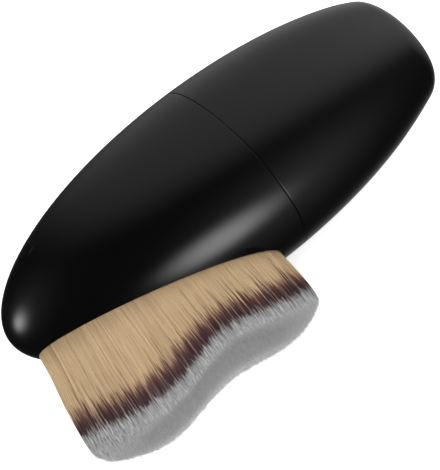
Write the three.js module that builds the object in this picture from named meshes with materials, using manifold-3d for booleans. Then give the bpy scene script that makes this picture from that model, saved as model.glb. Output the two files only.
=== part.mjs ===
// Body dry brush: an egg-shaped palm handle moulded as two hollow shells, with one
// dense oval tuft of soft filaments set into the underside of the front shell.
// Brush frame: +X from the rounded nose to the flat tail, +Z towards the palm,
// filaments towards -Z. The finished brush is laid on its side on the ground.
// All lengths are in millimetres.
import * as THREE from 'three';
import { mergeVertices } from 'three/addons/utils/BufferGeometryUtils.js';
import Module from 'manifold-3d';

const wasm = await Module();
wasm.setup();

// handle
const handleRadius = 25;        // largest cross-section, at x = 0
const noseLength = 66.7;        // half-ellipse from the largest section to the nose
const tailEllipse = 68.4;       // half-ellipse that the tail follows
const tailLength = 57.8;        // where the flat end cuts that half-ellipse
const tailEdge = 4;             // rounding between the flank and the flat end
const tailSlope = 0.098;        // lean of the flat end, rise of x per mm towards -Z
const tailBlend = 12;           // length over which the lean fades out
const wall = 2.4;               // shell thickness
const seamX = 3.4;              // where the joint between the shells meets the axis
const seamAngle = 5.5;          // lean of that joint, in degrees
const seamGap = 0.3;            // space left between the two shells
// socket for the tuft
const mouthX = -32.35;          // centre of the oval mouth
const mouthLong = 30.8;         // half length of the oval
const mouthWide = 13.55;        // half width of the oval
const socketTop = -1.2;         // the socket is open up to here
const socketWall = 1.6;         // wall of the tube around the socket
const fitGap = 0.35;            // space left around the pieces in the socket
const cutPast = 60;             // cuts for the socket reach this far down
const cutOver = 6;              // and this far up
const plateThick = 2.2;
const glueThick = 2.6;
// sleeve that ties the shells together
const sleeveWall = 1.8;
const sleeveFront = 5;          // reach ahead of the joint
const sleeveBack = 7;           // reach behind it
// tuft
const tipDepth = 39.835;        // mean depth of the tips below the axis
const tipWave = 1.65;           // the tips rise and fall by this much
const tipPeriod = 38.6;         // distance between the two low lobes
const tipLobe = -46.4;          // where the front lobe is
const tipSlant = 0.01;          // the rear lobe is a little shorter
const noseLean = 0.196;         // outward lean that the foremost filaments add
const straightRoot = 1.5;       // the filaments run straight this far below the block
const leastFree = 4;            // and stand free over at least this length
const tuftLean = 0.028;         // lean of the whole tuft towards the nose
const noseBow = 0.54;           // the foremost filaments bow outwards on the way
const rearBow = 0.57;           // and so do the rearmost
const sideFlare = 0.065;        // widening of the tuft towards the tips
const rearFlare = 0.14;         // extra widening of it at the rear end
const cornerStart = 0.855;      // the tips round off beyond this share of the oval
const sideCorner = 0.42;        // depth of that rounding at the sides
const noseCorner = 5.6;         // extra depth of it at the nose end
const rearCorner = 0.6;         // extra depth of it at the rear end
// resting attitude
const restTilt = 17.33;         // turn about the long axis that lays the tuft down

const glossBlack = new THREE.MeshStandardMaterial({ color: 0x0c0c0d, roughness: 0.16, metalness: 0 });
const darkPlastic = new THREE.MeshStandardMaterial({ color: 0x2a2b2d, roughness: 0.5, metalness: 0 });
const resin = new THREE.MeshStandardMaterial({ color: 0xc9b98e, roughness: 0.45, metalness: 0 });
const filament = new THREE.MeshStandardMaterial({ color: 0xbda37d, roughness: 0.85, metalness: 0 });

// --- helpers -------------------------------------------------------------

// turns a closed three.js geometry into a solid that can be cut and joined
function toSolid(geometry) {
  geometry.deleteAttribute('normal');
  geometry.deleteAttribute('uv');
  const merged = mergeVertices(geometry, 1e-4);
  const index = merged.index.array;
  const kept = [];
  for (let i = 0; i < index.length; i += 3) {
    const [a, b, c] = [index[i], index[i + 1], index[i + 2]];
    if (a !== b && b !== c && a !== c) kept.push(a, b, c);
  }
  return new wasm.Manifold(new wasm.Mesh({
    numProp: 3,
    vertProperties: new Float32Array(merged.attributes.position.array),
    triVerts: new Uint32Array(kept),
  }));
}

// turns a solid back into a named mesh
function toMesh(name, solid, material) {
  const mesh = solid.getMesh();
  const geometry = new THREE.BufferGeometry();
  geometry.setAttribute('position', new THREE.BufferAttribute(new Float32Array(mesh.vertProperties), 3));
  geometry.setIndex(new THREE.BufferAttribute(new Uint32Array(mesh.triVerts), 1));
  geometry.computeVertexNormals();
  const piece = new THREE.Mesh(geometry, material);
  piece.name = name;
  return piece;
}

// egg of revolution about X, drawn in by `inset`, with its leaning flat end
function egg(inset) {
  const radius = handleRadius - inset;
  const nose = noseLength - inset;
  const end = tailLength - inset;
  const profile = [];
  const noseSteps = 16;
  for (let i = 0; i <= noseSteps; i++) {
    const a = (Math.PI / 2) * (i / noseSteps);
    profile.push(new THREE.Vector2(radius * Math.sin(a), -nose * Math.cos(a)));
  }
  const tailSteps = 8;
  const flankEnd = end - tailEdge;
  const follow = (x) => radius * Math.sqrt(1 - (x / (tailEllipse - inset)) ** 2);
  for (let i = 1; i <= tailSteps; i++) {
    const x = flankEnd * (i / tailSteps);
    profile.push(new THREE.Vector2(follow(x), x));
  }
  for (let i = 1; i <= 5; i++) {
    const a = (Math.PI / 2) * (i / 5);
    const x = flankEnd + tailEdge * Math.sin(a);
    profile.push(new THREE.Vector2(follow(x) - tailEdge * (1 - Math.cos(a)), x));
  }
  profile.push(new THREE.Vector2(0, end));
  profile[0].x = 0;
  const body = new THREE.LatheGeometry(profile, 44);
  body.rotateZ(-Math.PI / 2);
  const place = body.attributes.position;
  for (let i = 0; i < place.count; i++) {
    const share = THREE.MathUtils.clamp((place.getX(i) - (end - tailBlend)) / tailBlend, 0, 1);
    place.setX(i, place.getX(i) - tailSlope * place.getZ(i) * share * share);
  }
  return toSolid(body);
}

// upright oval block, the mouth outline grown by `grow`, from z = low to z = high
function ovalBlock(grow, low, high) {
  const outline = new THREE.Shape();
  outline.absellipse(0, 0, mouthLong + grow, mouthWide + grow, 0, 2 * Math.PI, false, 0);
  const block = new THREE.ExtrudeGeometry(outline, {
    depth: high - low, bevelEnabled: false, curveSegments: 22,
  });
  block.translate(mouthX, 0, low);
  return toSolid(block);
}

// half space in front of (-1) or behind (+1) a plane parallel to the shell joint
function jointSide(side, offset) {
  const size = 200;
  const box = new THREE.BoxGeometry(size, size, size);
  box.translate(side * (size / 2) + offset, 0, 0);
  box.rotateY(-THREE.MathUtils.degToRad(seamAngle));
  box.translate(seamX, 0, 0);
  return toSolid(box);
}

// --- pieces --------------------------------------------------------------

// front shell: hollow, with a tube around the oval socket
function headShell() {
  const tube = ovalBlock(socketWall, -cutPast, socketTop);
  return egg(0)
    .subtract(egg(wall))
    .add(tube.intersect(egg(0)))
    .intersect(jointSide(-1, -seamGap / 2))
    .subtract(ovalBlock(0, -cutPast, socketTop + cutOver));
}

// rear shell: hollow, closed by the flat end
function tailShell() {
  return egg(0).subtract(egg(wall)).intersect(jointSide(1, seamGap / 2));
}

// inner sleeve across the joint, notched where the socket tube passes
function joinSleeve() {
  return egg(wall + fitGap)
    .subtract(egg(wall + fitGap + sleeveWall))
    .intersect(jointSide(1, -sleeveFront))
    .intersect(jointSide(-1, sleeveBack))
    .subtract(ovalBlock(socketWall + fitGap, -cutPast, cutOver));
}

// oval plate that closes the top of the socket
function socketPlate() {
  return ovalBlock(-fitGap, socketTop - plateThick, socketTop);
}

// cast block that holds the filament roots
function rootBlock() {
  const top = socketTop - plateThick - fitGap;
  return ovalBlock(-fitGap, top - glueThick, top);
}

// tip of the filament that leaves the oval at share `r` of its radius, direction `a`
function tipOf(r, a) {
  const rootX = mouthX + (mouthLong - fitGap) * r * Math.cos(a);
  const rootY = (mouthWide - fitGap) * r * Math.sin(a);
  const forward = (mouthX + mouthLong - rootX) / (2 * mouthLong);
  const lean = tuftLean + noseLean * forward ** 2.5;
  const past = Math.max(0, (r - cornerStart) / (1 - cornerStart));
  const corner = sideCorner + noseCorner * Math.max(0, -Math.cos(a)) ** 3
    + rearCorner * Math.max(0, Math.cos(a)) ** 4;
  const wave = tipWave * Math.cos((2 * Math.PI * (rootX - tipLobe)) / tipPeriod);
  const depth = tipDepth + wave - tipSlant * (rootX - tipLobe)
    - corner * (1 - Math.sqrt(Math.max(0, 1 - past * past)));
  return { rootX, rootY, lean, depth, forward };
}

// soft tuft as one closed solid: root face, flank, rounded tip face
function bristleBundle() {
  const around = 36;
  const rootZ = socketTop - plateThick - glueThick - 2 * fitGap;
  const rings = [];
  const ring = (r, share) => {
    const points = [];
    for (let i = 0; i < around; i++) {
      const a = (2 * Math.PI * i) / around;
      const tip = tipOf(r, a);
      const surface = handleRadius * Math.sqrt(1 - (tip.rootX / noseLength) ** 2);
      const leave = Math.min(surface, tip.depth - leastFree);
      const z = THREE.MathUtils.lerp(rootZ, -tip.depth, share);
      const free = Math.max(0, -z - leave) / (tip.depth - leave);
      const bow = 4 * free * (1 - free);
      const rear = Math.max(0, 1 - 2 * tip.forward);
      points.push([
        tip.rootX - tip.lean * Math.max(0, rootZ - straightRoot - z)
          + bow * (rearBow * (1 - tip.forward) ** 3 - noseBow * tip.forward ** 2.5),
        tip.rootY * (1 + free * (sideFlare + rearFlare * rear ** 2)),
        z,
      ]);
    }
    rings.push(points);
  };
  ring(0.5, 0);
  for (const share of [0, 0.25, 0.5, 0.75, 1]) ring(1, share);
  for (const r of [0.97, 0.92, 0.85, 0.76, 0.5, 0.25]) ring(r, 1);
  const vertices = [];
  for (const points of rings) for (const p of points) vertices.push(...p);
  const rootCentre = vertices.length / 3;
  vertices.push(mouthX, 0, rootZ);
  const tipCentre = rootCentre + 1;
  const middle = tipOf(0, 0);
  vertices.push(mouthX - middle.lean * (rootZ - straightRoot + middle.depth), 0, -middle.depth);
  const index = [];
  for (let j = 0; j + 1 < rings.length; j++) {
    for (let i = 0; i < around; i++) {
      const a = j * around + i;
      const b = j * around + ((i + 1) % around);
      index.push(a, a + around, b, b, a + around, b + around);
    }
  }
  const last = (rings.length - 1) * around;
  for (let i = 0; i < around; i++) {
    const next = (i + 1) % around;
    index.push(rootCentre, i, next, tipCentre, last + next, last + i);
  }
  const geometry = new THREE.BufferGeometry();
  geometry.setAttribute('position', new THREE.BufferAttribute(new Float32Array(vertices), 3));
  geometry.setIndex(index);
  return toSolid(geometry);
}

// --- assembly ------------------------------------------------------------

const handle = new THREE.Group();
handle.add(toMesh('head_shell', headShell(), glossBlack));
handle.add(toMesh('tail_shell', tailShell(), glossBlack));
handle.add(toMesh('join_sleeve', joinSleeve(), darkPlastic));

const tuft = new THREE.Group();
tuft.add(toMesh('socket_plate', socketPlate(), darkPlastic));
tuft.add(toMesh('root_block', rootBlock(), resin));
tuft.add(toMesh('bristle_bundle', bristleBundle(), filament));

const brush = new THREE.Group();
brush.add(handle, tuft);
brush.rotation.x = THREE.MathUtils.degToRad(-90 + restTilt);

// stand the laid brush on z = 0 with its box centred on the origin
const group = new THREE.Group();
group.add(brush);
group.updateMatrixWorld(true);
const box = new THREE.Box3().setFromObject(group, true);
const centre = box.getCenter(new THREE.Vector3());
brush.position.set(-centre.x, -centre.y, -box.min.z);

export default group;
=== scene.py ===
import bpy
import numpy as np
from mathutils import Matrix, Vector


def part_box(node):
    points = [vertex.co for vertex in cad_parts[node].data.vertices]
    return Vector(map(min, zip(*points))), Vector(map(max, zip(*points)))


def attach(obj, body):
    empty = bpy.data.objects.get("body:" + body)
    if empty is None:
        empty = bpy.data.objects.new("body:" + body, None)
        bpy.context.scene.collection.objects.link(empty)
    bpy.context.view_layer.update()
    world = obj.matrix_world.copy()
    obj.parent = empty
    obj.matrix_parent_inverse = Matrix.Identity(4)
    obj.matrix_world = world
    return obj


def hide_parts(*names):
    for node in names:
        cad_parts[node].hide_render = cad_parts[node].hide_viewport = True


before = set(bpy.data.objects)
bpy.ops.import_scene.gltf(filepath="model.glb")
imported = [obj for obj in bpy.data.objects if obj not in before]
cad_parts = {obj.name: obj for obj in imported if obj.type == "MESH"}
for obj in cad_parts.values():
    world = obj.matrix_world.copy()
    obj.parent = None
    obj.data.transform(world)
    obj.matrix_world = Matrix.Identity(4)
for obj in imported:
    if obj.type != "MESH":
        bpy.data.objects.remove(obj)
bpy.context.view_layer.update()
mm = 0.001
rng = np.random.default_rng(7)

# Shapes are worked out in the brush's own frame: x from the nose to the tail, z to
# the palm, filaments towards -z. One turn and one shift lay it on its side.

handle = dict(
    radius=25 * mm,  # largest cross-section, at x = 0
    nose=66.7 * mm,  # half-ellipse to the nose
    tailCurve=68.4 * mm,  # half-ellipse that the tail follows
    tail=57.8 * mm,  # where the flat end cuts it
    tailEdge=4 * mm,  # rounding into the flat end
    tailSlope=0.098,  # lean of the flat end
    tailBlend=12 * mm,  # length over which that lean fades out
    wall=2.4 * mm,
    seamX=3.4 * mm,  # where the seam meets the axis
    seamAngle=5.5,  # degrees
    seamGap=0.05 * mm,
    seamRound=0.2 * mm,
    restTilt=17.33,  # degrees that lay the brush on its belly and its filaments
    columns=300,
    rows=120,
    hiddenRows=24,  # on the inner walls
    edgeRows=6,  # round each small edge
)
socket = dict(
    x=-32.35 * mm,  # centre of the oval mouth
    long=30.8 * mm,
    wide=13.55 * mm,
    top=-1.2 * mm,
    tube=1.6 * mm,  # wall of the tube around it
    lip=0.4 * mm,  # rounding of the mouth's edge
    rows=8,
)

headLow, headHigh = (np.array(corner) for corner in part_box("head_shell"))
middle = (headLow + headHigh) / 2
axisPlace = np.array([headLow[0] + handle["nose"], middle[1], middle[2]])
layAngle = np.radians(handle["restTilt"] - 90)
layTurn = np.array(
    [
        [1, 0, 0],
        [0, np.cos(layAngle), -np.sin(layAngle)],
        [0, np.sin(layAngle), np.cos(layAngle)],
    ]
)


def layDown(points):  # brush frame to the laid-down frame
    return points @ layTurn.T + axisPlace


def lerp(start, end, share):
    return start + (end - start) * share


def ramp(value, low, high):  # 0 up to low, 1 from high on, straight in between
    return np.clip((value - low) / (high - low), 0, 1)


def bend(start, corner, end, steps):
    # rounded corner: quadratic curve from start to end, drawn towards the corner
    share = (np.arange(1, steps + 1) / (steps + 1))[:, None, None]
    return (1 - share) ** 2 * start + 2 * share * (1 - share) * corner + share**2 * end


def gridQuads(rows, columns, rowsClose=False):
    # quads between neighbouring rows; every row closes on itself
    row = np.arange(rows if rowsClose else rows - 1)[:, None]
    column = np.arange(columns)[None, :]
    after, beside = (row + 1) % rows, (column + 1) % columns
    corners = [(row, column), (row, beside), (after, beside), (after, column)]
    numbers = [across * columns + along for across, along in corners]
    return np.stack(np.broadcast_arrays(*numbers), -1).reshape(-1, 4)


def poleFan(ring, pole, turned):
    # triangles from one closed ring of vertex numbers to a single point
    beside = np.roll(ring, -1)
    first, second = (beside, ring) if turned else (ring, beside)
    return np.stack([first, second, np.full_like(ring, pole)], -1)


def cappedGrid(rows, poles=None):
    # closed rings joined by quads, with a fan to a pole at both ends; a pole that
    # isn't given is the middle of its ring
    count, columns = rows.shape[:2]
    poles = rows[[0, -1]].mean(1) if poles is None else poles
    points = np.concatenate([rows.reshape(-1, 3), poles])
    first = np.arange(columns)
    last, size = first + (count - 1) * columns, count * columns
    fans = np.concatenate([poleFan(first, size, True), poleFan(last, size + 1, False)])
    return points, [gridQuads(count, columns), fans]


def solidVolume(points, faces):
    # sum of the signed pyramids from the origin to each face
    total = 0.0
    for face in faces:
        apex = points[face[:, 0]]
        for k in range(1, face.shape[1] - 1):
            base = np.cross(points[face[:, k]], points[face[:, k + 1]])
            total += np.einsum("ij,ij->", apex, base)
    return total


def addMesh(name, points, faces, attributes=None):
    # faces is a list of arrays, one for quads and one for triangles; an attribute holds
    # a number or a triple for each point
    if solidVolume(points, faces) < 0:
        faces = [face[:, ::-1] for face in faces]
    mesh = bpy.data.meshes.new(name)
    mesh.vertices.add(len(points))
    mesh.vertices.foreach_set("co", points.astype(np.float32).ravel())
    corners = np.concatenate([face.ravel() for face in faces]).astype(np.int32)
    sizes = np.concatenate([np.full(len(face), face.shape[1]) for face in faces])
    mesh.loops.add(len(corners))
    mesh.loops.foreach_set("vertex_index", corners)
    mesh.polygons.add(len(sizes))
    starts = np.concatenate([[0], np.cumsum(sizes)[:-1]]).astype(np.int32)
    mesh.polygons.foreach_set("loop_start", starts)
    mesh.update(calc_edges=True)
    mesh.polygons.foreach_set("use_smooth", np.ones(len(sizes), bool))
    for key, values in (attributes or {}).items():
        kind, field = ("FLOAT_VECTOR", "vector") if values.ndim == 2 else ("FLOAT", "value")
        layer = mesh.attributes.new(key, kind, "POINT")
        layer.data.foreach_set(field, values.astype(np.float32).ravel())
    mesh.validate()
    thing = bpy.data.objects.new(name, mesh)
    bpy.context.scene.collection.objects.link(thing)
    return thing


def linear(hexColour):  # sRGB hex to linear RGBA
    part = np.array([int(hexColour[i : i + 2], 16) / 255 for i in (1, 3, 5)])
    value = np.where(part <= 0.04045, part / 12.92, ((part + 0.055) / 1.055) ** 2.4)
    return (*value.tolist(), 1.0)


def addNode(tree, kind, inputs=None, **settings):
    # a node with its settings; an input is a value, or another node's output to link
    node = tree.nodes.new(kind)
    for key, value in settings.items():
        setattr(node, key, value)
    for key, value in (inputs or {}).items():
        if isinstance(value, bpy.types.NodeSocket):
            tree.links.new(value, node.inputs[key])
        else:
            node.inputs[key].default_value = value
    return node


def newMaterial(name, inputs):
    # a material with one Principled shader, returned with its tree
    material = bpy.data.materials.new(name)
    material.use_nodes = True
    tree = material.node_tree
    shader = tree.nodes["Principled BSDF"]
    for key, value in inputs.items():
        shader.inputs[key].default_value = value
    return material, tree, shader


def blended(tree, share, first, second):
    # mix of two colours, each a hex value or another node's output
    mix = addNode(tree, "ShaderNodeMix", {"Factor": share}, data_type="RGBA")
    for index, colour in ((6, first), (7, second)):  # the colour sockets A and B
        if isinstance(colour, str):
            mix.inputs[index].default_value = linear(colour)
        else:
            tree.links.new(colour, mix.inputs[index])
    return mix.outputs[2]


shellFinish = dict(
    colour="#040404",
    roughness=0.1,
    smudge=0.03,  # how much the gloss varies
    smudgeSize=22 * mm,
    peelSize=5 * mm,  # width of one swell of the moulded skin
    peelHeight=0.004 * mm,
    ior=1.5,
)


def pianoBlackAbs():
    # ABS moulded in a polished tool: deep black, mirror gloss, a trace of orange peel
    # and a slow change of gloss where the skin cooled
    look = shellFinish
    material, tree, shader = newMaterial(
        "pianoBlackAbs", {"Base Color": linear(look["colour"]), "IOR": look["ior"]}
    )
    place = addNode(tree, "ShaderNodeTexCoord").outputs["Object"]
    smudge = addNode(
        tree, "ShaderNodeTexNoise", {"Vector": place, "Scale": 1 / look["smudgeSize"], "Detail": 3}
    )
    gloss = addNode(
        tree,
        "ShaderNodeMapRange",
        {
            "Value": smudge.outputs["Fac"],
            "From Min": 0.3,
            "From Max": 0.7,
            "To Min": look["roughness"] - look["smudge"],
            "To Max": look["roughness"] + look["smudge"],
        },
    )
    tree.links.new(gloss.outputs["Result"], shader.inputs["Roughness"])
    peel = addNode(
        tree, "ShaderNodeTexNoise", {"Vector": place, "Scale": 1 / look["peelSize"], "Detail": 1}
    )
    swell = addNode(
        tree,
        "ShaderNodeBump",
        {"Height": peel.outputs["Fac"], "Strength": 1.0, "Distance": look["peelHeight"]},
    )
    tree.links.new(swell.outputs["Normal"], shader.inputs["Normal"])
    return material


innerFinish = dict(
    dark="#202124",
    light="#303136",
    roughness=0.55,
    grain=0.5 * mm,  # drawn ten times as coarse as the real spark texture, to show
    grainDepth=0.05 * mm,
)
resinFinish = dict(deep="#a8874f", pale="#cdb583", roughness=0.3, cloud=3 * mm)


def mouldedNylon():
    # glass-filled nylon from a sparked tool: dull, near black, with a fine grain
    look = innerFinish
    material, tree, shader = newMaterial(
        "mouldedNylon", {"Roughness": look["roughness"], "IOR": 1.53}
    )
    place = addNode(tree, "ShaderNodeTexCoord").outputs["Object"]
    grain = addNode(
        tree, "ShaderNodeTexNoise", {"Vector": place, "Scale": 1 / look["grain"], "Detail": 4}
    ).outputs["Fac"]
    shade = blended(tree, grain, look["dark"], look["light"])
    tree.links.new(shade, shader.inputs["Base Color"])
    rough = addNode(
        tree,
        "ShaderNodeBump",
        {"Height": grain, "Strength": 0.4, "Distance": look["grainDepth"]},
    )
    tree.links.new(rough.outputs["Normal"], shader.inputs["Normal"])
    return material


def castEpoxy():
    # epoxy poured around the filament roots: amber, glossy, clouded by tiny bubbles
    look = resinFinish
    material, tree, shader = newMaterial("castEpoxy", {"Roughness": look["roughness"], "IOR": 1.55})
    place = addNode(tree, "ShaderNodeTexCoord").outputs["Object"]
    cloud = addNode(
        tree, "ShaderNodeTexNoise", {"Vector": place, "Scale": 1 / look["cloud"], "Detail": 5}
    ).outputs["Fac"]
    tree.links.new(blended(tree, cloud, look["deep"], look["pale"]), shader.inputs["Base Color"])
    return material


filamentFinish = dict(
    tip="#dcdcdc",
    tipShade="#6e6e6f",
    band="#4e2f37",
    bandShade="#200f15",
    rust="#6b4137",  # the dark dye thins to this at its upper end
    streak="#a98f80",  # the few filaments that took little of the dark dye
    body="#c9af8b",
    bodyShade="#b79b77",
    tipEnd=2.3,  # mm from the tip where the pale end gives way
    bandEnd=7.8,  # mm from the tip where the dark band gives way
    blur=0.5,  # mm over which the dye fades along one filament
    rustFrom=1.8,  # mm below the band's upper end where the dye has half thinned
    rustBlur=1.6,
    calm=(8.0, 20.0),  # mm from the tip between which the filaments' tones draw together
    calmLeast=0.12,  # what is left of their difference
    calmTone=0.56,  # the tone that they settle at
    roughness=0.42,
    specular=0.35,
)


def dyedPbtFilament():
    # extruded PBT filament, dyed in three zones and tapered: a waxy, satin fibre whose
    # zones end at a slightly different height on every filament
    tint = filamentFinish
    material, tree, shader = newMaterial(
        "dyedPbtFilament",
        {"Roughness": tint["roughness"], "IOR": 1.5, "Specular IOR Level": tint["specular"]},
    )
    fromTip = addNode(tree, "ShaderNodeAttribute", attribute_name="fromTip").outputs["Fac"]
    look = addNode(tree, "ShaderNodeAttribute", attribute_name="strandLook").outputs["Vector"]
    parts = addNode(tree, "ShaderNodeSeparateXYZ", {"Vector": look})
    tone, lowShift, highShift = (parts.outputs[axis] for axis in "XYZ")
    undyed = addNode(tree, "ShaderNodeAttribute", attribute_name="undyed").outputs["Fac"]

    def zone(edge, width, shift):  # 0 towards the tip, 1 beyond the edge, in mm
        moved = addNode(tree, "ShaderNodeMath", {0: fromTip, 1: shift}, operation="SUBTRACT")
        reach = {"Value": moved.outputs[0], "From Min": edge - width, "From Max": edge + width}
        return addNode(
            tree, "ShaderNodeMapRange", reach, interpolation_type="SMOOTHSTEP"
        ).outputs["Result"]

    calm = addNode(
        tree,
        "ShaderNodeMapRange",
        {
            "Value": fromTip,
            "From Min": tint["calm"][0],
            "From Max": tint["calm"][1],
            "To Min": 1.0,
            "To Max": tint["calmLeast"],
        },
    )
    spread = addNode(tree, "ShaderNodeMath", {0: tone, 1: 0.5}, operation="SUBTRACT")
    quiet = addNode(
        tree,
        "ShaderNodeMath",
        {0: spread.outputs[0], 1: calm.outputs["Result"], 2: tint["calmTone"]},
        operation="MULTIPLY_ADD",
    )
    # on the velvety face the tone also holds painted shade and painted light
    pale = blended(tree, tone, tint["tipShade"], tint["tip"])
    warm = blended(tree, quiet.outputs[0], tint["bodyShade"], tint["body"])
    dense = blended(tree, tone, tint["bandShade"], tint["band"])
    thinning = zone(tint["bandEnd"] - tint["rustFrom"], tint["rustBlur"], highShift)
    dark = blended(tree, undyed, blended(tree, thinning, dense, tint["rust"]), tint["streak"])
    lower = blended(tree, zone(tint["tipEnd"], tint["blur"], lowShift), pale, dark)
    bandTop = zone(tint["bandEnd"], tint["blur"] * 2, highShift)
    tree.links.new(blended(tree, bandTop, lower, warm), shader.inputs["Base Color"])
    return material


def eggReach(x, inset=0.0):
    # half-length of the half-ellipse that holds x: a short one ahead of the largest
    # section, a longer one behind it
    return np.where(x < 0, handle["nose"], handle["tailCurve"]) - inset


def eggAt(direction, inset=0.0):
    # point of the egg seen along a unit direction of the stretched sphere
    along, across = direction[..., :1], direction[..., 1:]
    return np.concatenate([along * eggReach(along, inset), across * (handle["radius"] - inset)], -1)


def eggRadius(x, inset=0.0):
    share = x / eggReach(x, inset)
    return (handle["radius"] - inset) * np.sqrt(np.clip(1 - share**2, 0, 1))


def seamRing(angle, side, inset=0.0, offset=0.0):
    # x and radius of the egg where the leaning seam plane cuts it, settled in a few
    # rounds; angle 0 is the filament side
    slope = np.tan(np.radians(handle["seamAngle"]))
    x = np.full_like(angle, handle["seamX"])
    for _ in range(6):
        z = -eggRadius(x, inset) * np.cos(angle)
        x = handle["seamX"] - slope * z + side * (handle["seamGap"] / 2 + offset)
    return x, eggRadius(x, inset)


def ringPoints(x, radius, angle):
    return np.stack([x + 0 * angle, radius * np.sin(angle), -radius * np.cos(angle)], -1)


def mouthRing(angle, grow=0.0):
    # oval in plan: an ellipse, angle 0 at its rear end
    x = socket["x"] + (socket["long"] + grow) * np.cos(angle)
    return x, (socket["wide"] + grow) * np.sin(angle)


def onEgg(x, y, inset=0.0):
    # unit direction of the stretched sphere under the plan point (x, y)
    flat = np.stack([x / eggReach(x, inset), y / (handle["radius"] - inset)], -1)
    depth = -np.sqrt(np.clip(1 - (flat**2).sum(-1), 1e-4, 1))
    direction = np.concatenate([flat, depth[:, None]], -1)
    return direction / np.linalg.norm(direction, axis=-1, keepdims=True)


def onEggAround(x, angle, inset=0.0):
    # unit direction of the stretched sphere at height x and angle around the axis
    along = x / eggReach(x, inset)
    across = np.sqrt(1 - along**2)
    return np.stack([along, across * np.sin(angle), -across * np.cos(angle)], -1)


def arcBetween(first, second, share):
    # great-circle blend of two rings of unit directions, share from 0 to 1 per row
    cosine = np.clip((first * second).sum(-1), -1, 1)
    swing = np.arccos(cosine)[None, :, None]
    share = share[:, :, None]
    return (np.sin((1 - share) * swing) * first + np.sin(share * swing) * second) / np.sin(swing)


def headSkin():
    # Rows run from the mouth's lip over the egg to the seam, round the seam's edge, back
    # along the inner wall to the socket's tube, over the tube's top and down to the lip.
    columns, wall, edgeRows = handle["columns"], handle["wall"], handle["edgeRows"]
    angle = np.arange(columns) / columns * 2 * np.pi
    mouthX, mouthY = mouthRing(angle)
    lipDirection = onEgg(mouthX, mouthY)
    lipPoints = eggAt(lipDirection)
    seamX, seamR = seamRing(angle, -1)
    seamPoints = ringPoints(seamX, seamR, angle)
    span = np.linalg.norm(lipPoints - seamPoints, axis=-1)
    shareLip, shareSeam = socket["lip"] / span, 1 - handle["seamRound"] / span
    step = np.linspace(0, 1, handle["rows"])[:, None] ** 1.15  # closer rows near the lip
    share = lerp(shareLip[None, :], shareSeam[None, :], step)
    outer = eggAt(arcBetween(lipDirection, onEggAround(seamX, angle), share))

    innerX, innerR = seamRing(angle, -1, wall)
    innerSeam = ringPoints(innerX, innerR, angle)
    seamInward = lerp(seamPoints, innerSeam, handle["seamRound"] / wall)
    seamEdge = bend(outer[-1], seamPoints, seamInward, edgeRows)

    tubeX, tubeY = mouthRing(angle, socket["tube"])
    innerShare = np.repeat(np.linspace(1, 0, handle["hiddenRows"])[:, None], columns, 1)
    innerDirection = arcBetween(
        onEgg(tubeX, tubeY, wall), onEggAround(innerX, angle, wall), innerShare
    )
    inner = eggAt(innerDirection, wall)
    top = np.full_like(angle, socket["top"])
    tubeTop = np.stack([tubeX, tubeY, top], -1)
    socketTop = np.stack([mouthX, mouthY, top], -1)
    lipInside = lipPoints + np.array([0, 0, socket["lip"]])
    down = np.linspace(0, 1, socket["rows"])[:, None, None]
    well = lerp(socketTop[None], lipInside[None], down)
    lip = bend(lipInside, lipPoints, outer[0], edgeRows)
    return np.concatenate([outer, seamEdge, seamInward[None], inner, tubeTop[None], well, lip])


def leanEnd(points, inset):
    # shears the last stretch of the tail so that its flat end leans towards the palm
    end = handle["tail"] - inset
    share = ramp(points[..., 0], end - handle["tailBlend"], end)
    points[..., 0] -= handle["tailSlope"] * points[..., 2] * share**2
    return points


def tailRows(angle, inset, rows, side=1):
    # Rows from the seam along the flank, a quarter turn round the edge and rings of
    # shrinking radius over the flat end.
    end = handle["tail"] - inset
    flankEnd = end - handle["tailEdge"]
    startX, _ = seamRing(angle, side, inset, handle["seamRound"] if inset == 0 else 0)
    x = lerp(startX[None, :], flankEnd, np.linspace(0, 1, rows)[:, None])
    radius = eggRadius(x, inset)
    turnRows = 3 * handle["edgeRows"]
    turn = (np.arange(1, turnRows + 1) / turnRows * np.pi / 2)[:, None]
    edgeX = flankEnd + handle["tailEdge"] * np.sin(turn) + 0 * angle
    edgeR = eggRadius(edgeX, inset) - handle["tailEdge"] * (1 - np.cos(turn))
    flatR = edgeR[-1:] * np.array([0.985, 0.95, 0.8, 0.5, 0.2])[:, None]
    flatX = np.full_like(flatR, end)
    x, radius = np.concatenate([x, edgeX, flatX]), np.concatenate([radius, edgeR, flatR])
    return leanEnd(ringPoints(x, radius, np.broadcast_to(angle, x.shape)), inset)


def tailSkin():
    # One closed wall: the outside from its centre to the seam, then the inside back.
    columns, wall = handle["columns"], handle["wall"]
    angle = np.arange(columns) / columns * 2 * np.pi
    outer = tailRows(angle, 0.0, handle["rows"])[::-1]
    inner = tailRows(angle, wall, 20)
    seamX, seamR = seamRing(angle, 1)
    corner = ringPoints(seamX, seamR, angle)
    seamInward = lerp(corner, inner[0], handle["seamRound"] / wall)
    seamEdge = bend(outer[-1], corner, seamInward, handle["edgeRows"])
    return np.concatenate([outer, seamEdge, seamInward[None], inner])


def buildHead():
    rows = headSkin()
    faces = [gridQuads(len(rows), handle["columns"], True)]
    skin = addMesh("head_skin", layDown(rows.reshape(-1, 3)), faces)
    skin.data.materials.append(blackAbs)
    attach(skin, "root")
    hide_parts("head_shell")


def buildTail():
    points, faces = cappedGrid(tailSkin())
    skin = addMesh("tail_skin", layDown(points), faces)
    skin.data.materials.append(blackAbs)
    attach(skin, "root")
    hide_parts("tail_shell")


blackAbs = pianoBlackAbs()
print("shells")
buildHead()
buildTail()

print("pieces inside the handle")
nylon, epoxy = mouldedNylon(), castEpoxy()
for node, finish in (("join_sleeve", nylon), ("socket_plate", nylon), ("root_block", epoxy)):
    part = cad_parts[node]
    part.data.materials.clear()
    part.data.materials.append(finish)

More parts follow.
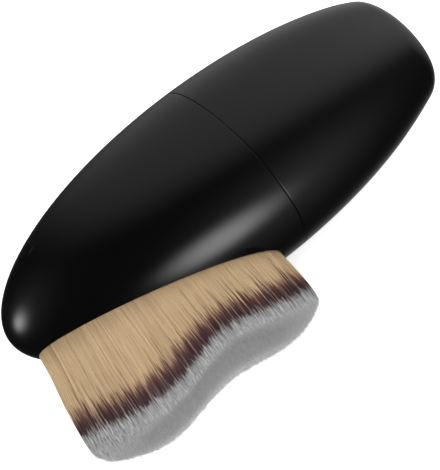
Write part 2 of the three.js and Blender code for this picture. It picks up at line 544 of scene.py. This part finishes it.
tuft = dict(
    rootZ=-6.7 * mm,  # the roots leave the cast block here
    fit=0.05 * mm,  # space between the outermost roots and the socket
    straight=1.5 * mm,  # the filaments run straight this far below the block
    leastFree=4 * mm,  # and stand free over at least this length
    depth=39.835 * mm,  # mean depth of the tips below the axis
    wave=1.65 * mm,  # rise and fall of the tips
    period=38.6 * mm,
    lobe=-46.4 * mm,  # where the front lobe is
    slant=0.01,
    lean=0.028,  # of the whole tuft towards the nose
    noseLean=0.196,  # outward lean that the foremost filaments add
    noseBow=0.54 * mm,  # they also bow outwards on the way
    rearBow=0.35 * mm,  # and so do the rearmost
    skew=0.068,  # the near side's lobes sit this much further back per mm of width
    flare=0.065,  # sideways spread towards the tips
    rearFlare=0.14,  # what the rear end adds to it
    cornerStart=0.855,  # share of the oval beyond which the face rounds off
    sideCorner=0.42 * mm,
    noseCorner=5.6 * mm,
    rearCorner=0.6 * mm,
)


def forwardOf(rootX):  # 0 at the rear end of the oval, 1 at the nose end
    return np.clip((socket["x"] + socket["long"] - rootX) / (2 * socket["long"]), 0, 1)


def tipOf(share, angle):
    # root place, lean and depth of the filament at a share of the oval and an angle:
    # the depth is a cosine along the brush, less a quarter-ellipse near the rim
    rootX = socket["x"] + (socket["long"] - tuft["fit"]) * share * np.cos(angle)
    rootY = (socket["wide"] - tuft["fit"]) * share * np.sin(angle)
    lean = tuft["lean"] + tuft["noseLean"] * forwardOf(rootX) ** 2.5
    past = ramp(share, tuft["cornerStart"], 1)
    corner = (
        tuft["sideCorner"]
        + tuft["noseCorner"] * np.clip(-np.cos(angle), 0, 1) ** 3
        + tuft["rearCorner"] * np.clip(np.cos(angle), 0, 1) ** 4
    )
    along = rootX - tuft["lobe"]
    phase = 2 * np.pi * (along + tuft["skew"] * rootY) / tuft["period"]
    face = tuft["depth"] + tuft["wave"] * np.cos(phase) - tuft["slant"] * along
    return rootX, rootY, lean, face - corner * (1 - np.sqrt(1 - past**2))


def alongFilament(rootX, rootY, lean, depth, z):
    # straight down the socket, then leaning to the nose, bowing outwards (a parabola)
    # and spreading slightly sideways
    leave = np.minimum(eggRadius(rootX), depth - tuft["leastFree"])
    free = np.clip(-z - leave, 0, None) / (depth - leave)
    forward = forwardOf(rootX)
    bow = tuft["rearBow"] * (1 - forward) ** 3 - tuft["noseBow"] * forward**2.5
    below = np.clip(tuft["rootZ"] - tuft["straight"] - z, 0, None)
    x = rootX - lean * below + 4 * free * (1 - free) * bow
    rear = np.clip(1 - 2 * forward, 0, 1)
    y = rootY * (1 + free * (tuft["flare"] + tuft["rearFlare"] * rear**2))
    return np.stack([x, y, z + 0 * x], -1)


core = dict(inset=0.8 * mm, short=1.3 * mm, columns=160, sideRows=26, faceRows=16)


def buildCore():
    # the mass behind the outer layer: the tuft's own outline, drawn in and cut short
    angle = np.arange(core["columns"]) / core["columns"] * 2 * np.pi
    inner = 1 - core["inset"] / socket["wide"]
    rows, marks = [], []

    def addRow(share, progress):
        rootX, rootY, lean, depth = tipOf(share * inner * np.ones(core["columns"]), angle)
        z = lerp(tuft["rootZ"], core["short"] - depth, progress)
        rows.append(alongFilament(rootX, rootY, lean, depth, z))
        marks.append((depth + z) / mm)

    for share in (0.3, 0.7):
        addRow(share, 0.0)
    for progress in np.linspace(0, 1, core["sideRows"]):
        addRow(1.0, progress)
    for share in np.linspace(0.97, 0.06, core["faceRows"]):
        addRow(share, 1.0)
    rows, marks = np.array(rows), np.array(marks)
    points, faces = cappedGrid(rows)
    fromTip = np.concatenate([marks.ravel(), marks[[0, -1]].mean(1)])
    look = np.tile([0.3, 0.0, 0.0], (len(points), 1))  # painted shade: a darker tone for the mass behind the outer layer, and unshifted zones
    marks = {"fromTip": fromTip, "strandLook": look, "undyed": np.zeros(len(points))}
    mass = addMesh("tuft_core", layDown(points), faces, marks)
    mass.data.materials.append(filament)
    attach(mass, "root")
    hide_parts("bristle_bundle")


filaments = dict(
    flankCount=16000,  # in the outer layer, seen over their whole length
    flankDepth=1.1 * mm,  # thickness of that layer
    hiddenStart=3 * mm,  # they start this far inside the mouth
    flankRings=(0, 0.3, 0.6, 0.8, 0.93, 1.0),  # shares of the length where a ring stands
    tipCount=40000,  # behind it, seen only at their ends
    tipLength=8 * mm,
    tipRings=(0, 0.55, 0.85, 1.0),
    thickness=0.14 * mm,  # drawn twice as thick as the real 0.07 mm, so that it shows
    tipThickness=0.06 * mm,
    taper=4.5 * mm,  # length of the tapered end
    uneven=0.22 * mm,  # how unevenly the tips end
    rimUneven=1.2,  # how much more so at the rim, which softens the outline
    rimFrom=0.85,
    clump=2.0 * mm,  # width of the bunches, with partings between them
    gather=0.286,  # share of the way to the middle that the tightest bunch draws in
    closing=5 * mm,  # over this length the bunches close up again at the tips
    lock=0.22 * mm,  # width of the locks that share one tone
    lockTone=0.35,  # how far the tone differs between locks, and within one
    ownTone=1.1,
    sideTone=(0.05, 0.85),  # darkest and palest tone on the sides of the pale ends
    faceToneAndPaintedShade=(0.14, 0.34),  # the same on the velvety face, a narrow range kept low as painted shade, before its rim is added
    acrossPaintedLight=0.1,  # painted light: what the face gains from the upper side to the lower one
    lowerRimPaintedLight=0.42,  # painted light from the pale ground: what its rim near the ground gains, and where that starts
    lowerRimFrom=0.3,
    rimPaintedLight=0.16,  # painted light: what the rim gains all round, and between which shares
    rimPaintedLightSpan=(0.62, 0.92),
    lowJitter=(0.4, 1.7),  # mm by which the pale end differs between locks, and within one
    highJitter=(0.8, 3.8),  # the same for the upper end of the dark band
    rearLow=1.4,  # mm by which the band's upper end is lower at the rear end
    longDye=8.0,  # mm that the dye climbs further on a few
    longDyeFrom=0.86,  # share of the filaments without that
    undyed=0.85,  # how pale the least dyed filaments are in the band
    undyedSpan=(0.88, 0.96),  # shares of the filaments between which that sets in
    stray=0.12 * mm,
    perPiece=5500,
)


def cellsOf(points, size, seed):
    # bunches: every point belongs to the nearest of the jittered centres in its own and
    # the eight neighbouring cells; returns that centre and three random numbers for it
    across = 128  # cells before the pattern repeats, wider than the tuft
    random = np.random.default_rng(seed).random((across, across, 5))
    cell = np.floor(points / size).astype(int)
    near = np.array([(i, j) for i in (-1, 0, 1) for j in (-1, 0, 1)])
    cells = cell[:, None] + near[None]
    drawn = random[cells[..., 0] % across, cells[..., 1] % across]
    centres = (cells + drawn[..., :2]) * size
    nearest = np.linalg.norm(centres - points[:, None], axis=-1).argmin(1)
    pick = np.arange(len(points)), nearest
    return centres[pick], drawn[pick][:, 2:]


def looksOf(share, angle, lock, isFlank):
    # tone, shifts of both dye lines in mm and lack of dye, for every filament
    own = rng.random((len(share), 5))
    tone = 0.5 + filaments["lockTone"] * (lock[:, 0] - 0.5) + filaments["ownTone"] * (own[:, 0] - 0.5)
    tone = np.clip(tone, 0, 1)
    if isFlank:
        tone = lerp(*filaments["sideTone"], tone)
    else:
        # on the face the tone is painted shade and painted light: darker than the sides, lighter
        # towards the lower side, the rim near the ground and the whole rim
        side = share * np.sin(angle)
        lower = ramp(side, filaments["lowerRimFrom"], 1) ** 1.5
        tone = lerp(*filaments["faceToneAndPaintedShade"], tone) + filaments["acrossPaintedLight"] * (side + 1) / 2
        tone += filaments["lowerRimPaintedLight"] * lower
        tone += filaments["rimPaintedLight"] * ramp(share, *filaments["rimPaintedLightSpan"])
    (lowLock, lowOwn), (highLock, highOwn) = filaments["lowJitter"], filaments["highJitter"]
    low = lowLock * (lock[:, 1] - 0.5) + lowOwn * (own[:, 1] - 0.5)
    high = highLock * (lock[:, 2] - 0.5) + highOwn * (own[:, 2] - 0.5)
    high -= filaments["rearLow"] * np.clip(np.cos(angle), 0, 1) ** 8
    high += filaments["longDye"] * ramp(own[:, 3], filaments["longDyeFrom"], 1) ** 1.5
    undyed = filaments["undyed"] * ramp(own[:, 4], *filaments["undyedSpan"])
    return np.stack([tone, low, high, undyed], -1)


def growFilaments(share, angle, rings, isFlank):
    # Paths of many filaments at once: those of the flank start inside the mouth, the
    # others a short length above their tips. Each is drawn towards its bunch's middle
    # and strays a little, more and more towards the tip.
    rootX, rootY, lean, depth = tipOf(share, angle)
    count = len(share)
    edge = ramp(share, filaments["rimFrom"], 1) * filaments["rimUneven"]
    depth = depth + filaments["uneven"] * (rng.normal(0, 1, count) * (1 + edge) - edge)
    skin = np.sqrt(np.clip(eggRadius(rootX) ** 2 - rootY**2, 0, None))
    top = filaments["hiddenStart"] - skin if isFlank else filaments["tipLength"] - depth
    z = lerp(top[:, None], -depth[:, None], rings[None, :])
    paths = alongFilament(rootX[:, None], rootY[:, None], lean[:, None], depth[:, None], z)
    roots = np.stack([rootX, rootY], -1)
    centre, bunch = cellsOf(roots, filaments["clump"], 11)
    _, lock = cellsOf(roots, filaments["lock"], 12)
    progress = np.clip((-z - skin[:, None]) / (depth - skin)[:, None], 0, 1)
    fromTip = depth[:, None] + z
    closing = ramp(fromTip, 0, filaments["closing"])
    pull = filaments["gather"] * bunch[:, :1] ** 2 * progress**2 * closing
    paths[..., :2] += (centre - roots)[:, None, :] * pull[..., None]
    stray = rng.normal(0, filaments["stray"], (count, 2))
    paths[..., :2] += stray[:, None, :] * progress[..., None]
    fade = ramp(fromTip, 0, filaments["taper"])
    widths = lerp(filaments["tipThickness"], filaments["thickness"], fade)
    return paths, widths, fromTip / mm, looksOf(share, angle, lock, isFlank)


def strandMesh(name, paths, widths, fromTip, look):
    # three-sided tapered rods: arrays run over filament, ring and side
    count, rings, _ = paths.shape
    spin = rng.random((count, 1, 1)) * 2 * np.pi
    turn = spin + np.arange(3)[None, None, :] * 2 * np.pi / 3
    around = np.stack([np.cos(turn), np.sin(turn), np.zeros_like(turn)], -1)
    points = paths[:, :, None, :] + around * widths[:, :, None, None] / 2
    index = np.arange(count * rings * 3).reshape(count, rings, 3)
    beside = np.roll(index, -1, 2)
    quads = np.stack([index[:, :-1], beside[:, :-1], beside[:, 1:], index[:, 1:]], -1)
    caps = np.concatenate([index[:, 0, ::-1], index[:, -1]])
    marks = {
        "fromTip": np.repeat(fromTip.ravel(), 3),
        "strandLook": np.repeat(look[:, :3], rings * 3, 0),
        "undyed": np.repeat(look[:, 3], rings * 3),
    }
    strands = addMesh(name, layDown(points.reshape(-1, 3)), [quads.reshape(-1, 4), caps], marks)
    strands.data.materials.append(filament)
    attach(strands, "root")
    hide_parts("bristle_bundle")
    return strands


def splitStrands(label, share, angle, rings, isFlank):
    # cuts the filaments into pieces of a few thousand, in bands from nose to tail
    order = np.argsort(-np.cos(angle) * share)
    paths, widths, fromTip, look = growFilaments(share[order], angle[order], np.array(rings), isFlank)
    pieces = max(1, round(len(share) / filaments["perPiece"]))
    return [
        strandMesh(f"{label}_{number + 1}", paths[part], widths[part], fromTip[part], look[part])
        for number, part in enumerate(np.array_split(np.arange(len(share)), pieces))
    ]


def buildTuft():
    # flank layer, denser at its outer face, spread evenly along the oval's rim
    wide, count = socket["wide"], filaments["flankCount"]
    inner = 1 - filaments["flankDepth"] / wide
    share = lerp(inner, 1, rng.random(count) ** 0.6)
    grid = np.linspace(0, 2 * np.pi, 2001)
    rim = np.cumsum(np.hypot(socket["long"] * np.sin(grid), wide * np.cos(grid)))
    angle = np.interp((np.arange(count) + rng.random(count)) / count * rim[-1], rim, grid)
    for strands in splitStrands("flank_filaments", share, angle, filaments["flankRings"], True):
        strands.visible_glossy = False  # the shells mirror the shaded mass behind them
    # the rest, spread evenly over the oval and a little into that layer
    count = filaments["tipCount"]
    share = inner * np.sqrt(rng.random(count)) * 1.02
    angle = rng.random(count) * 2 * np.pi
    splitStrands("inner_filaments", share, angle, filaments["tipRings"], False)


filament = dyedPbtFilament()
print("tuft")
buildCore()
buildTuft()

stage = dict(
    floor="#f4f4f4",
    floorGlow=0.6,  # the floor is a light table: it keeps the shadows open
    floorSize=6.0,  # m
    world=0.95,  # soft light from all round
    keyPower=24.0,
    keySize=1.6,
    keyPlace=(-0.5, -0.9, 1.9),
    fillPower=9.0,
    fillSize=1.2,
    fillPlace=(-0.3, -2.0, 0.7),
    aim=(0, 0, 0.02),
)


def buildFloor():
    half = stage["floorSize"] / 2
    points = np.array([[-half, -half, 0], [half, -half, 0], [half, half, 0], [-half, half, 0]])
    floor = addMesh("floor", points, [np.array([[0, 1, 2, 3]])])
    material, _, _ = newMaterial(
        "floorPaper",
        {
            "Base Color": linear(stage["floor"]),
            "Roughness": 0.9,
            "Specular IOR Level": 0.1,
            "Emission Color": (1, 1, 1, 1),
            "Emission Strength": stage["floorGlow"],
        },
    )
    floor.data.materials.append(material)
    floor.visible_glossy = False  # the polished shells mirror the dome instead


def softLight(name, power, size, place):
    lamp = bpy.data.lights.new(name, "AREA")
    lamp.energy, lamp.size = power, size
    thing = bpy.data.objects.new(name, lamp)
    bpy.context.scene.collection.objects.link(thing)
    thing.location = place
    towards = Vector(stage["aim"]) - Vector(place)
    thing.rotation_euler = towards.to_track_quat("-Z", "Y").to_euler()
    thing.visible_glossy = False
    thing.visible_camera = False


# The polished shells mirror a dome round the brush that only gloss can see. Its glow by
# direction is a sum of soft boxes: power x exp(-(distance / half-size) ^ edge), degrees.
softBoxes = dict(
    roof=dict(azimuth=36.5, elevation=29, wide=58, high=70, turn=9, edge=8, power=0.46),
    roofCore=dict(azimuth=10, elevation=27, wide=34, high=32, turn=0, edge=2, power=0.5),
    flank=dict(azimuth=-87.5, elevation=-0.5, wide=10, high=14.5, turn=22, edge=2.6, power=4.4),
    flankHalo=dict(azimuth=-75, elevation=-3, wide=22, high=31, turn=0, edge=2, power=0.4),
    nose=dict(azimuth=165.5, elevation=9, wide=12.5, high=12, turn=0, edge=2.2, power=4.9),
    noseHalo=dict(azimuth=166, elevation=16, wide=27, high=27, turn=0, edge=2, power=0.36),
    under=dict(azimuth=62, elevation=-63, wide=24, high=20, turn=0, edge=2, power=0.24),
)
dome = dict(radius=1.5, columns=240, rows=119, rest=0.02)


def unitAt(azimuth, elevation):  # unit vector from two angles in degrees
    azimuth, elevation = np.radians(azimuth), np.radians(elevation)
    level = np.cos(elevation)
    return np.stack(
        [level * np.cos(azimuth), level * np.sin(azimuth), np.sin(elevation) + 0 * azimuth], -1
    )


def domeGlow(direction):
    glow = np.full(len(direction), dome["rest"])
    for box in softBoxes.values():
        middle = unitAt(box["azimuth"], box["elevation"])
        level = np.cross([0, 0, 1], middle)
        level /= np.linalg.norm(level)
        upright = np.cross(middle, level)
        turn = np.radians(box["turn"])
        sideways = direction @ (level * np.cos(turn) + upright * np.sin(turn))
        upwards = direction @ (upright * np.cos(turn) - level * np.sin(turn))
        angle = np.degrees(np.arccos(np.clip(direction @ middle, -1, 1)))
        stretch = angle / (np.hypot(sideways, upwards) + 1e-9)
        distance = stretch * np.hypot(sideways / box["wide"], upwards / box["high"])
        glow += box["power"] * np.exp(-(distance ** box["edge"]))
    return glow


def buildDome():
    azimuth, elevation = np.meshgrid(
        np.arange(dome["columns"]) / dome["columns"] * 360,
        np.linspace(-90, 90, dome["rows"] + 2)[1:-1],
    )
    direction, faces = cappedGrid(unitAt(azimuth, elevation), [[0, 0, -1], [0, 0, 1]])
    shell = addMesh("dome", direction * dome["radius"], faces, {"glow": domeGlow(direction)})
    material = bpy.data.materials.new("glowingDome")
    material.use_nodes = True
    tree = material.node_tree
    tree.nodes.clear()
    strength = addNode(tree, "ShaderNodeAttribute", attribute_name="glow").outputs["Fac"]
    light = addNode(tree, "ShaderNodeEmission", {"Strength": strength})
    addNode(tree, "ShaderNodeOutputMaterial", {"Surface": light.outputs[0]})
    material.cycles.emission_sampling = "NONE"
    shell.data.materials.append(material)
    for ray in ("camera", "diffuse", "transmission", "volume_scatter", "shadow"):
        setattr(shell, f"visible_{ray}", False)


def buildWorld():
    # pale to the eye, a soft even light on everything dull, unseen by the gloss
    world = bpy.data.worlds.new("studio")
    bpy.context.scene.world = world
    world.use_nodes = True
    tree = world.node_tree
    seen = addNode(tree, "ShaderNodeLightPath").outputs["Is Camera Ray"]
    strength = addNode(
        tree, "ShaderNodeMapRange", {"Value": seen, "To Min": stage["world"], "To Max": 1.0}
    )
    back = tree.nodes["Background"]
    back.inputs["Color"].default_value = (1, 1, 1, 1)
    tree.links.new(strength.outputs["Result"], back.inputs["Strength"])
    world.cycles_visibility.glossy = False


buildFloor()
buildDome()
softLight("key", stage["keyPower"], stage["keySize"], stage["keyPlace"])
softLight("fill", stage["fillPower"], stage["fillSize"], stage["fillPlace"])
buildWorld()

view = dict(
    azimuth=-109.632,  # seen from the filament side, slightly towards the nose
    elevation=52.687,
    roll=-21.880,
    distance=0.69818,
    aim=(-8.995 * mm, -7.311 * mm, -7.925 * mm),  # from the middle of the largest section
    lens=231.4,
    sensor=36.0,
    clip=(0.01, 20.0),
)


def buildCamera():
    back = Vector(unitAt(view["azimuth"], view["elevation"]))
    roll = np.radians(view["roll"])
    right = Vector((0, 0, 1)).cross(back).normalized()
    upward = back.cross(right)
    turnedRight = right * np.cos(roll) + upward * np.sin(roll)
    lens = bpy.data.cameras.new("camera")
    lens.sensor_fit, lens.sensor_width, lens.lens = "HORIZONTAL", view["sensor"], view["lens"]
    lens.clip_start, lens.clip_end = view["clip"]
    thing = bpy.data.objects.new("camera", lens)
    bpy.context.scene.collection.objects.link(thing)
    basis = Matrix((turnedRight, back.cross(turnedRight), back)).transposed().to_4x4()
    place = Vector(axisPlace) + Vector(view["aim"]) + back * view["distance"]
    thing.matrix_world = Matrix.Translation(place) @ basis
    bpy.context.scene.camera = thing


buildCamera()
bpy.context.scene.view_settings.view_transform = "Standard"
print("stage and camera")
